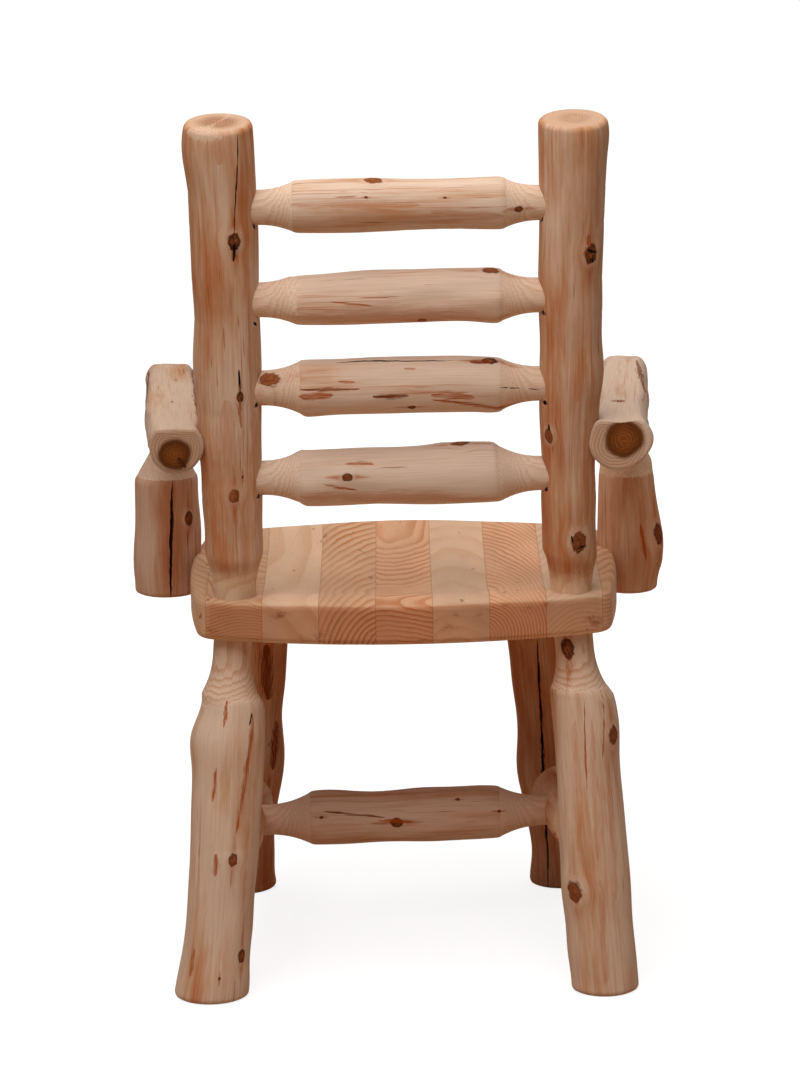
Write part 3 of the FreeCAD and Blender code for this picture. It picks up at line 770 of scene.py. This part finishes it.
# %% Draw splits and stains
def make_mark():
    """A split or a stain along the grain, as wide as w sqrt(4 h (1 - h)) at a part h of its length.

    Only the distance round the log counts, so the mark stays on the face however the log swells.
    """
    tree, given, leave = shared_group("Mark", "Color Grain Start End Width Soft Ink", "Color Mask")
    grain = given["Grain"]
    sway = noise(grain, (0.0, 0.0, 0.035))
    feather = noise(grain, (0.5, 0.5, 0.05), 3.0, 0.6)
    strand = noise(grain, (0.8, 0.8, 0.03))
    shift = scaled(ACROSS_LOG, smooth(sway, *WIDE, -0.6, 0.6))
    place = vectors("ADD", grain, shift)
    span = vectors("SUBTRACT", given["End"], given["Start"])
    reach = vectors("SUBTRACT", place, given["Start"])
    part = maths("DIVIDE", dot(reach, span), dot(span, span), clamp=True)
    miss = vectors("SUBTRACT", reach, scaled(span, part))
    outward = vectors("NORMALIZE", flattened(grain))
    inward = scaled(outward, dot(miss, outward))
    beside = length(vectors("SUBTRACT", miss, inward))
    bow = times(part, maths("SUBTRACT", 1.0, part))
    wide = times(maths("SQRT", times(bow, 4.0)), given["Width"])
    wide = times(wide, smooth(feather, *MID, 0.25, 0.9))
    outer = maths("MULTIPLY_ADD", wide, given["Soft"], wide)
    mask = smooth(beside, times(wide, 0.5), outer, 1.0, 0.0)
    broken = smooth(given["Soft"], 0.3, 0.8, 1.0, 0.55)
    mask = times(mask, smooth(strand, 0.34, 0.56, broken, 1.0))
    mask = times(mask, smooth(given["Soft"], 0.5, 2.0, 1.0, 0.45))
    put(leave["Color"], mix(mask, given["Color"], given["Ink"]))
    put(leave["Mask"], mask)
    return tree


MARK = make_mark()
print("layer:", MARK.name)

# %% [markdown]
# The photograph fixes where the knots, splits and slits are. Each is written as a pixel with a size in
# mm, and the script finds the place on the log under that pixel. The sides that the photograph hides get
# a few knots of their own from a seeded draw, because a trunk has branches all round.

# %% List what the photograph shows on each log
BLACK = (tone(26, 13, 8), 0.3)
BARK = (tone(126, 56, 12), 0.7)
RUST = (tone(172, 80, 16), 0.8)
AMBER = (tone(190, 114, 66), 2.0)
CORE = (tone(84, 44, 16), 0.6)
SHAVED = (tone(226, 194, 166), 0.7)

# Each knot: pixel across, pixel down, radius in mm, darkness
KNOTS = {
    "rear_post_left": [(234, 241, 7, 1.0), (240, 398, 4.5, 0.8), (233, 496, 6, 0.8), (243, 477, 1.6, 0.8)],
    "rear_post_right": [(591, 254, 8, 0.75), (549, 436, 6, 0.4), (578, 541, 9, 0.5)],
    "back_rung_1": [(518, 209, 3.5, 0.8), (373, 181, 7, 0.4), (366, 198, 1.4, 0.9), (444, 198, 1.4, 0.8)],
    "back_rung_2": [(491, 271, 7, 0.5), (421, 320, 4, 0.5)],
    "back_rung_3": [(270, 380, 9, 0.3), (490, 361, 6, 0.9), (412, 407, 3, 0.7)],
    "back_rung_4": [(348, 477, 4.2, 0.8), (460, 444, 7, 0.6)],
    "cross_stretcher": [
        (397, 822, 5.5, 0.8), (320, 817, 1.8, 0.8), (499, 811, 1.8, 0.8), (458, 800, 2, 0.6),
    ],
    "arm_support_left": [(188, 519, 6, 0.7)],
    "arm_support_right": [(658, 535, 9, 0.7)],
    "rear_leg_left": [(232, 861, 5.5, 0.6), (242, 957, 5.5, 0.7), (219, 978, 1.6, 0.8)],
    "rear_leg_right": [(568, 649, 8, 0.8), (613, 736, 8, 0.5), (575, 893, 9, 0.45)],
    "arm_left": [(176, 380, 1.8, 0.5), (172, 402, 1.8, 0.5)],
    "arm_right": [(653, 424, 6, 0.8)],
}

# Each mark: first pixel across and down, last pixel across and down, width in mm, ink with its softness
MARKS = {
    "rear_post_left": [
        (237, 134, 234, 236, 1.7, BLACK), (234, 243, 234, 262, 3.4, BLACK),
        (240, 370, 240, 396, 2.4, BLACK), (240, 400, 241, 428, 2.6, RUST), (214, 480, 213, 560, 3, AMBER),
        (226, 400, 228, 570, 16, AMBER), (250, 330, 256, 520, 4, AMBER), (186, 132, 222, 138, 9, SHAVED),
        (217, 138, 219, 164, 6, AMBER), (241, 190, 246, 240, 7, AMBER),
    ],
    "rear_post_right": [
        (582, 346, 577, 402, 6, AMBER), (571, 535, 573, 542, 1.8, BLACK), (576, 549, 586, 545, 1.8, BLACK),
        (586, 560, 590, 590, 5, AMBER), (598, 130, 597, 230, 4, AMBER), (549, 424, 549, 432, 2.5, BLACK),
        (587, 250, 595, 252, 3.2, BLACK), (589, 258, 594, 262, 2.4, BLACK), (588, 236, 590, 246, 6, RUST),
    ],
    "back_rung_1": [(290, 205, 420, 206, 4, AMBER), (430, 212, 505, 216, 4, AMBER)],
    "back_rung_2": [(330, 302, 372, 306, 1.8, RUST), (286, 316, 510, 314, 9, AMBER)],
    "back_rung_3": [
        (335, 363, 455, 361, 2, BLACK), (300, 396, 332, 395, 5, RUST), (372, 397, 410, 396, 4, BARK),
        (430, 396, 474, 397, 6, RUST), (298, 389, 360, 389, 2.4, BARK), (430, 400, 520, 402, 3, RUST),
        (404, 368, 416, 368, 2.6, RUST), (338, 381, 356, 382, 2.4, RUST), (470, 362, 488, 362, 4, BARK),
        (500, 387, 540, 390, 1.4, BLACK),
    ],
    "back_rung_4": [
        (345, 464, 374, 464, 3.5, RUST), (324, 484, 356, 490, 2.4, RUST), (300, 496, 500, 497, 7, AMBER),
    ],
    "cross_stretcher": [(322, 812, 384, 817, 2, BARK), (378, 821, 412, 822, 3, RUST)],
    "arm_support_left": [(172, 482, 171, 602, 3, BLACK), (160, 490, 160, 560, 3, AMBER)],
    "arm_support_right": [(641, 525, 646, 560, 3, RUST), (660, 470, 655, 520, 3, AMBER)],
    "rear_leg_left": [
        (227, 700, 224, 728, 3, RUST), (253, 712, 237, 834, 3.6, RUST), (251, 712, 249, 726, 2.2, BLACK),
        (216, 768, 212, 802, 3, RUST), (216, 854, 215, 876, 4, RUST), (195, 948, 190, 978, 3, RUST),
        (246, 870, 242, 940, 3, AMBER),
    ],
    "rear_leg_right": [
        (575, 720, 578, 850, 4, AMBER), (592, 720, 597, 860, 3.4, AMBER), (608, 760, 616, 900, 4, AMBER),
        (600, 880, 606, 985, 4, AMBER), (584, 700, 586, 790, 1.4, RUST), (600, 690, 603, 760, 1.4, RUST),
    ],
    "front_leg_right": [(537, 640, 549, 888, 3.4, BLACK)],
    "front_leg_left": [(266, 645, 268, 700, 12, BARK), (276, 720, 272, 770, 9, BARK)],
    "arm_left": [
        (194, 368, 197, 416, 5, BARK), (148, 370, 146, 404, 5, BARK), (196, 380, 197, 402, 1.6, BLACK),
        (178, 457, 187, 471, 5, CORE),
    ],
    "arm_right": [
        (637, 360, 645, 392, 6, BARK), (643, 384, 648, 404, 6, RUST), (642, 372, 646, 384, 2, BLACK),
        (611, 401, 625, 401, 9, BARK),
    ],
}
# Short dark marks under each rung where it meets the post, their size in mm and half their height in pixels
DARK_RUNG_MARKS = {
    "rear_post_left": [(254, 226), (255, 324), (257, 405), (259, 496)],
    "rear_post_right": [(543, 218), (543, 312), (545, 402), (546, 489)],
}
DARK_MARK_SIZE = 8.0
DARK_MARK_PIXELS = 2
# Swellings that stand out of the log's side: pixel, radius and height in mm
SWELLINGS = {"arm_right": [((652, 436), 9, 5.5)]}
HIDDEN_KNOTS = 3
KNOT_SWELL = 0.2

# The pixel where the pith of a log shows, off its middle
PITHS = {"arm_left": (175, 454), "arm_right": (624, 438)}
SAPWOOD = tone(206, 164, 132)
REDDISH = tone(184, 134, 102)
HEARTWOOD = tone(128, 72, 32)
# Radius and softness in mm of a log's heart, and its colour
PLAIN = (0, 2, SAPWOOD)
UP = (0, 0, 1)
DOWN = (0, 0, -1)
SIDE = (1, 0, 0)
BACK = (0, 1, 0)

# Each log: where the flat end faces that it is measured from, the shoulders of its first and last ends,
# warmth, inner bark left on it, its heart, and the tint over it all
LOGS = {
    "rear_post_left": (UP, (FLARED, SAWN), 0.06, 0.10, (20, 9, REDDISH), (0.96, 0.95, 0.95)),
    "rear_post_right": (UP, (FLARED, SAWN), 0.07, 0.06, (16, 8, SAPWOOD), (0.96, 0.93, 0.92)),
    "back_rung_1": (SIDE, (EDGED, EDGED), 0.00, 0.08, PLAIN, (0.97, 0.98, 1.0)),
    "back_rung_2": (SIDE, (EDGED, EDGED), -0.14, 0.00, PLAIN, (1.06, 1.06, 1.08)),
    "back_rung_3": (SIDE, (EDGED, EDGED), -0.13, 0.02, PLAIN, (1.0, 1.0, 1.02)),
    "back_rung_4": (SIDE, (EDGED, EDGED), -0.16, -0.08, PLAIN, (1.0, 1.02, 1.07)),
    "rear_leg_left": (DOWN, (SWOLLEN, SAWN), -0.10, -0.08, PLAIN, (0.98, 0.97, 0.97)),
    "rear_leg_right": (DOWN, (SWOLLEN, SAWN), -0.05, 0.02, PLAIN, (0.97, 0.95, 0.94)),
    "front_leg_left": (DOWN, (SWOLLEN, SAWN), 0.14, 0.16, PLAIN, (1.1, 1.06, 1.0)),
    "front_leg_right": (DOWN, (SWOLLEN, SAWN), 0.13, 0.14, PLAIN, (1.08, 1.06, 1.04)),
    "side_stretcher_left": (BACK, (EDGED, EDGED), 0.06, 0.0, PLAIN, (1.1, 0.94, 0.80)),
    "side_stretcher_right": (BACK, (EDGED, EDGED), 0.06, 0.0, PLAIN, (1.1, 0.94, 0.80)),
    "cross_stretcher": (SIDE, (EDGED, EDGED), -0.06, 0.0, PLAIN, (1.03, 0.98, 0.98)),
    # The arms are tinted darker than the other logs, and the left one darker than the right: painted shade
    # that holds back the lamps, which light the arm tops strongly and the left arm most
    "arm_left": (BACK, (SAWN, SAWN), -0.10, -0.02, (18, 3, HEARTWOOD), (0.74, 0.71, 0.69)),
    "arm_right": (BACK, (SAWN, SAWN), -0.10, -0.02, (21, 3, HEARTWOOD), (0.86, 0.85, 0.86)),
    "arm_support_left": (DOWN, (CONED, SAWN), 0.02, 0.04, PLAIN, (0.85, 0.76, 0.73)),
    "arm_support_right": (DOWN, (CONED, SAWN), 0.00, 0.02, PLAIN, (1.06, 0.92, 0.83)),
}
print("logs with knots:", len(KNOTS), "with marks:", len(MARKS))

# %% [markdown]
# A log's material stacks those layers in turn. One function does it for every log, so that they look like
# one stand of trees, and a row of choices makes each its own. A cut takes the tint of its end's shoulder.

# %% Paint one log
SHEEN = 0.02
STRAIGHT = 34.0
TINY = 1e-6
HALFWAY = 30.0
SEED_STEPS = (57.0, 23.0, 211.0)
FIBRE_RELIEF = 0.3
LINE_RELIEF = 0.15
CUT_RELIEF = -0.6
KNOT_RELIEF = 0.4
LOG_ROUGH = (0.54, 0.66)
LOG_BUMP = (0.5, 0.6)


def straightened(place):
    """A grain place moved to one radius, so that streaks follow the peeled face where the log swells."""
    flat = np.array(place[:2]) / max(np.linalg.norm(place[:2]), TINY)
    return (*(STRAIGHT * flat).tolist(), float(place[2]))


def log_material(node, seed, pith, knots, marks, middle, necks, warm, bark, heart, tint):
    """A log's wood: grain bent round its knots, then peel, rings, knots and marks in turn."""
    material, tree, shader = new_material(node + "_wood")
    grain = attribute(tree, "grain", "Vector")
    depth = attribute(tree, "depth", "Fac")
    bent = scaled(vectors("NORMALIZE", flattened(grain)), STRAIGHT)
    bent = vectors("ADD", bent, vectors("MULTIPLY", grain, ALONG_LOG))
    for place, radius, _ in knots:
        bent = use(BEND, Grain=bent, Centre=straightened(place), Radius=radius)["Grain"]
    peel = use(PEEL, Grain=bent, Seed=[seed * step for step in SEED_STEPS], Warm=warm, Bark=bark)
    near, end = necks
    along = dot(grain, ALONG_LOG)
    far = smooth(along, middle - HALFWAY, middle + HALFWAY)
    inside, blur, core = heart
    rings = use(RINGS, Color=peel["Color"], Grain=grain, Depth=depth, Pith=pith, Heart=inside, Soft=blur,
                Core=core, Blend=near.blend, Lines=near.lines, Torn=near.torn, Period=near.coat,
                Sap=mix(far, near.sap, end.sap))
    colour = rings["Color"]
    height = times(rings["Line"], LINE_RELIEF)
    height = maths("MULTIPLY_ADD", peel["Fibre"], FIBRE_RELIEF, height)
    height = maths("MULTIPLY_ADD", rings["Cut"], CUT_RELIEF, height)
    for place, radius, dark in knots:
        painted = use(KNOT, Color=colour, Grain=grain, Centre=place, Radius=radius, Dark=dark)
        colour = painted["Color"]
        height = maths("SUBTRACT", height, times(painted["Dent"], KNOT_RELIEF))
    for start, stop, width, (ink, soft) in marks:
        drawn = use(MARK, Color=colour, Grain=grain, Start=start, End=stop, Width=width, Soft=soft, Ink=ink)
        colour = drawn["Color"]
        height = maths("SUBTRACT", height, drawn["Mask"])
    rough = smooth(peel["Fibre"], *WIDE, *LOG_ROUGH)
    fill(shader, {"Base Color": vectors("MULTIPLY", colour, tint), "Specular IOR Level": SHEEN,
                  "Roughness": rough, "Normal": bumped(height, *LOG_BUMP)})
    return material


print("logs to paint:", len(LOGS))

# %% [markdown]
# Now each log is made from its own solid and its own rows of knots and marks. They could be made one by
# one, but a loop treats all seventeen alike, and a change to one step reaches them all. Knots raise the
# skin before it becomes a mesh, so that the outline shows them as well as the light.

# %% Make every log
KNOT_SEED = 100
KNOT_PARTS = (0.2, 0.8)
KNOT_SIZES = (4, 8)
KNOT_DARKS = (0.5, 0.85)
for seed, (node, (toward, *looks)) in enumerate(LOGS.items(), start=1):
    log = Skin(node, toward, looks[0], seed)
    draw = np.random.default_rng(KNOT_SEED + seed)
    knots = [(log.at_pixel(knot[:2]), knot[2], knot[3]) for knot in KNOTS.get(node, [])]
    for _ in range(HIDDEN_KNOTS):
        part = draw.uniform(*KNOT_PARTS)
        place = log.at_turn(part, draw.uniform(0, 1))
        ahead = (place[0] * log.axes[0] + place[1] * log.axes[1]) @ look
        if ahead > 0:
            knots.append((place, draw.uniform(*KNOT_SIZES), draw.uniform(*KNOT_DARKS)))
    for place, radius, _ in knots:
        log.swell(place, radius, KNOT_SWELL * radius)
    for pixel, radius, height in SWELLINGS.get(node, []):
        log.swell(log.at_pixel(pixel), radius, height)
    marks = [(log.at_pixel(mark[:2]), log.at_pixel(mark[2:4]), *mark[4:]) for mark in MARKS.get(node, [])]
    # A short dark mark is drawn under each rung, next to the post
    for across, down in DARK_RUNG_MARKS.get(node, []):
        ends = [log.at_pixel((across, down + step)) for step in (-DARK_MARK_PIXELS, DARK_MARK_PIXELS)]
        marks.append((*ends, DARK_MARK_SIZE, BLACK))
    piece = log.build()
    pith = log.at_pixel(PITHS[node]) if node in PITHS else (0.0, 0.0, 0.0)
    middle = float(log.stations.mean() / MM)
    piece.data.materials.append(log_material(node, seed, pith, knots, marks, middle, *looks))
    print(piece.name, "points", len(piece.data.vertices), "knots", len(knots), "marks", len(marks))

# %% [markdown]
# The seat is nine staves glued edge to edge and carved as one. Each stave comes from another board, so
# each has its own pith somewhere below it. The carved dish cuts those rings at a slant, and that alone
# draws the arches and flames. The rings are worked out in the wood, not drawn on the top.

# %% Paint the seat staves
# The two tones of a ring in each hue of board
PALE_BOARD = (tone(226, 187, 154), tone(208, 154, 112))
TAN_BOARD = (tone(218, 172, 135), tone(190, 122, 76))
ROSE_BOARD = (tone(228, 176, 138), tone(198, 126, 82))
ACROSS_BOARD = (1.0, 0.0, 1.0)
SEAM = tone(116, 68, 38)
SEAM_HALF = 0.35
SEAM_SHADE = 0.3
RESIN = tone(138, 66, 30)
END_GRAIN = (0.78, 0.61, 0.52, 1.0)
END_FACING = (0.72, 0.93)
SEAT_SHEEN = 0.015
SEAT_ROUGH = (0.56, 0.48)
SEAT_BUMP = (0.25, 0.4)
SMUDGE_STRETCH = (28.0, 60.0, 60.0)
SMUDGE_SHADE = 0.55


def make_board():
    """Rings of a sawn board: frac(r / w) with r the distance to a tilted pith, dark in its last part."""
    tree, given, leave = shared_group("Board Rings", "Place Ring Figure Early Late", "Color Line")
    place = given["Place"]
    wander = noise(place, (0.011, 0.0035, 0.011), 1.0)
    curl = noise(place, (0.05, 0.016, 0.05))
    uneven = noise(place, (0.02, 0.004, 0.02), 1.0)
    from_pith = length(vectors("MULTIPLY", place, ACROSS_BOARD))
    bent = plus(from_pith, times(wander, 14.0))
    bent = plus(bent, times(curl, 5.0))
    saw = maths("FRACT", maths("DIVIDE", bent, given["Ring"]))
    line = band(saw, 0.3, 0.9, 0.93, 1.0)
    line = times(line, smooth(uneven, 0.3, 0.65, 0.35, 1.0))
    line = times(line, given["Figure"])
    pores = noise(place, (1.1, 0.03, 1.1), 3.0, 0.6)
    broad = noise(place, (0.016, 0.004, 0.016))
    shade = smooth(pores, *MID, 0.94, 1.04)
    shade = times(shade, smooth(broad, *MID, 0.9, 1.05))
    spots = noise(place, (0.10, 0.035, 0.10))
    colour = mix(line, given["Early"], given["Late"])
    colour = mix(smooth(spots, 0.69, 0.78, 0.0, 0.6), colour, RESIN)
    put(leave["Color"], scaled(colour, shade))
    put(leave["Line"], line)
    return tree


BOARD = make_board()
# Each stave: hue, pith across from its middle and below the top in mm, tilt of the pith in degrees,
# ring in mm, and how strongly its rings show
STAVES = {
    1: (ROSE_BOARD, 40, 85, 8.0, 4.0, 0.7),
    2: (PALE_BOARD, -12, 95, -8.0, 5.0, 0.6),
    3: (ROSE_BOARD, 40, 80, -11.0, 3.8, 0.85),
    4: (PALE_BOARD, 6, 110, -9.0, 12.0, 0.45),
    5: (ROSE_BOARD, 14, 130, 14.0, 5.4, 0.9),
    6: (TAN_BOARD, -40, 92, -11.0, 6.0, 1.0),
    7: (PALE_BOARD, 66, 70, 6.0, 26.0, 0.5),
    8: (TAN_BOARD, -18, 105, 6.0, 3.2, 0.8),
    9: (TAN_BOARD, 20, 90, -8.0, 3.6, 0.7),
}


def stave_material(number, hue, across, below, tilt, ring, figure):
    """One stave's wood: object coordinates in mm, centred on its own pith and tipped with it."""
    node = f"seat_stave_{number}"
    low, high = (np.array(corner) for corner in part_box(node))
    material, tree, shader = new_material(node + "_wood")
    place = tree.nodes.new("ShaderNodeTexCoord").outputs["Object"]
    pith = ((low[0] + high[0]) / 2 + across * MM, 0.0, high[2] - below * MM)
    centred = scaled(vectors("SUBTRACT", place, pith), 1 / MM)
    turn = node_for("VectorRotate", centred)
    turn.rotation_type = "X_AXIS"
    fill(turn, {"Vector": centred, "Angle": math.radians(tilt)})
    wood = use(BOARD, Place=turn.outputs["Vector"], Ring=ring, Figure=figure, Early=hue[0], Late=hue[1])
    half = (high[0] - low[0]) / 2 / MM
    beside = dot(centred, SIDE)
    beside = maths("ABSOLUTE", plus(beside, float(across)))
    seam = smooth(beside, half - 2 * SEAM_HALF, half - SEAM_HALF, 0.0, SEAM_SHADE)
    facing = tree.nodes.new("ShaderNodeNewGeometry").outputs["Normal"]
    ending = maths("ABSOLUTE", dot(facing, BACK))
    ending = smooth(ending, *END_FACING)
    soak = mix(ending, WHITE, END_GRAIN)
    smudge = noise(place, SMUDGE_STRETCH, 4.0, 0.65)
    smudge = times(smooth(smudge, 0.55, 0.72, 0.0, SMUDGE_SHADE), ending)
    colour = mix(seam, wood["Color"], SEAM)
    colour = mix(smudge, colour, RESIN)
    rough = smooth(wood["Line"], 0.0, 1.0, *SEAT_ROUGH)
    fill(shader, {"Base Color": vectors("MULTIPLY", colour, soak), "Specular IOR Level": SEAT_SHEEN,
                  "Roughness": rough, "Normal": bumped(wood["Line"], *SEAT_BUMP)})
    return node, material


def dress(node, material):
    """Gives a solid of the frame a new material in place of its plain one."""
    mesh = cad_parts[node].data
    mesh.materials.clear()
    mesh.materials.append(material)


for number, choices in STAVES.items():
    dress(*stave_material(number, *choices))
print("staves painted:", len(STAVES))

# %% [markdown]
# Only small things are left. The screws that lock the tenons are dark steel, and turned plugs of the same
# wood close the holes of the lag screws. Their solids already have the right shape, so they only get a
# finish: one noise, stretched along a plug's grain, drives colour, roughness and bump together.

# %% Finish the fasteners
FINE_BUMP = (0.3, 0.1)
# Each finish: the nodes that have it, two tones, stretch of its noise per metre, roughness from and to,
# metal or not
FINISHES = {
    "dark_steel": (("tenon_screws", "arm_lag_screws", "support_lag_screws"),
                   tone(98, 94, 90), tone(66, 62, 58), (900.0, 900.0, 900.0), 0.3, 0.5, 1.0),
    "plug_wood": (("arm_plugs", "support_plugs"),
                  tone(216, 172, 130), tone(188, 136, 94), (1500.0, 90.0, 1500.0), 0.48, 0.62, 0.0),
}


def fine_material(name, light, dark, stretch, sleek, rough, metal):
    """A small part's finish: one stretched noise drives its colour, roughness and bump."""
    material, tree, shader = new_material(name)
    grit = noise(tree.nodes.new("ShaderNodeTexCoord").outputs["Object"], stretch, 3.0, 0.6)
    fill(shader, {"Base Color": mix(smooth(grit, *MID), light, dark), "Metallic": metal,
                  "Roughness": smooth(grit, *MID, sleek, rough), "Normal": bumped(grit, *FINE_BUMP)})
    return material


for name, (nodes, *choices) in FINISHES.items():
    finish = fine_material(name, *choices)
    for node in nodes:
        dress(node, finish)
    print(name, "on", nodes)
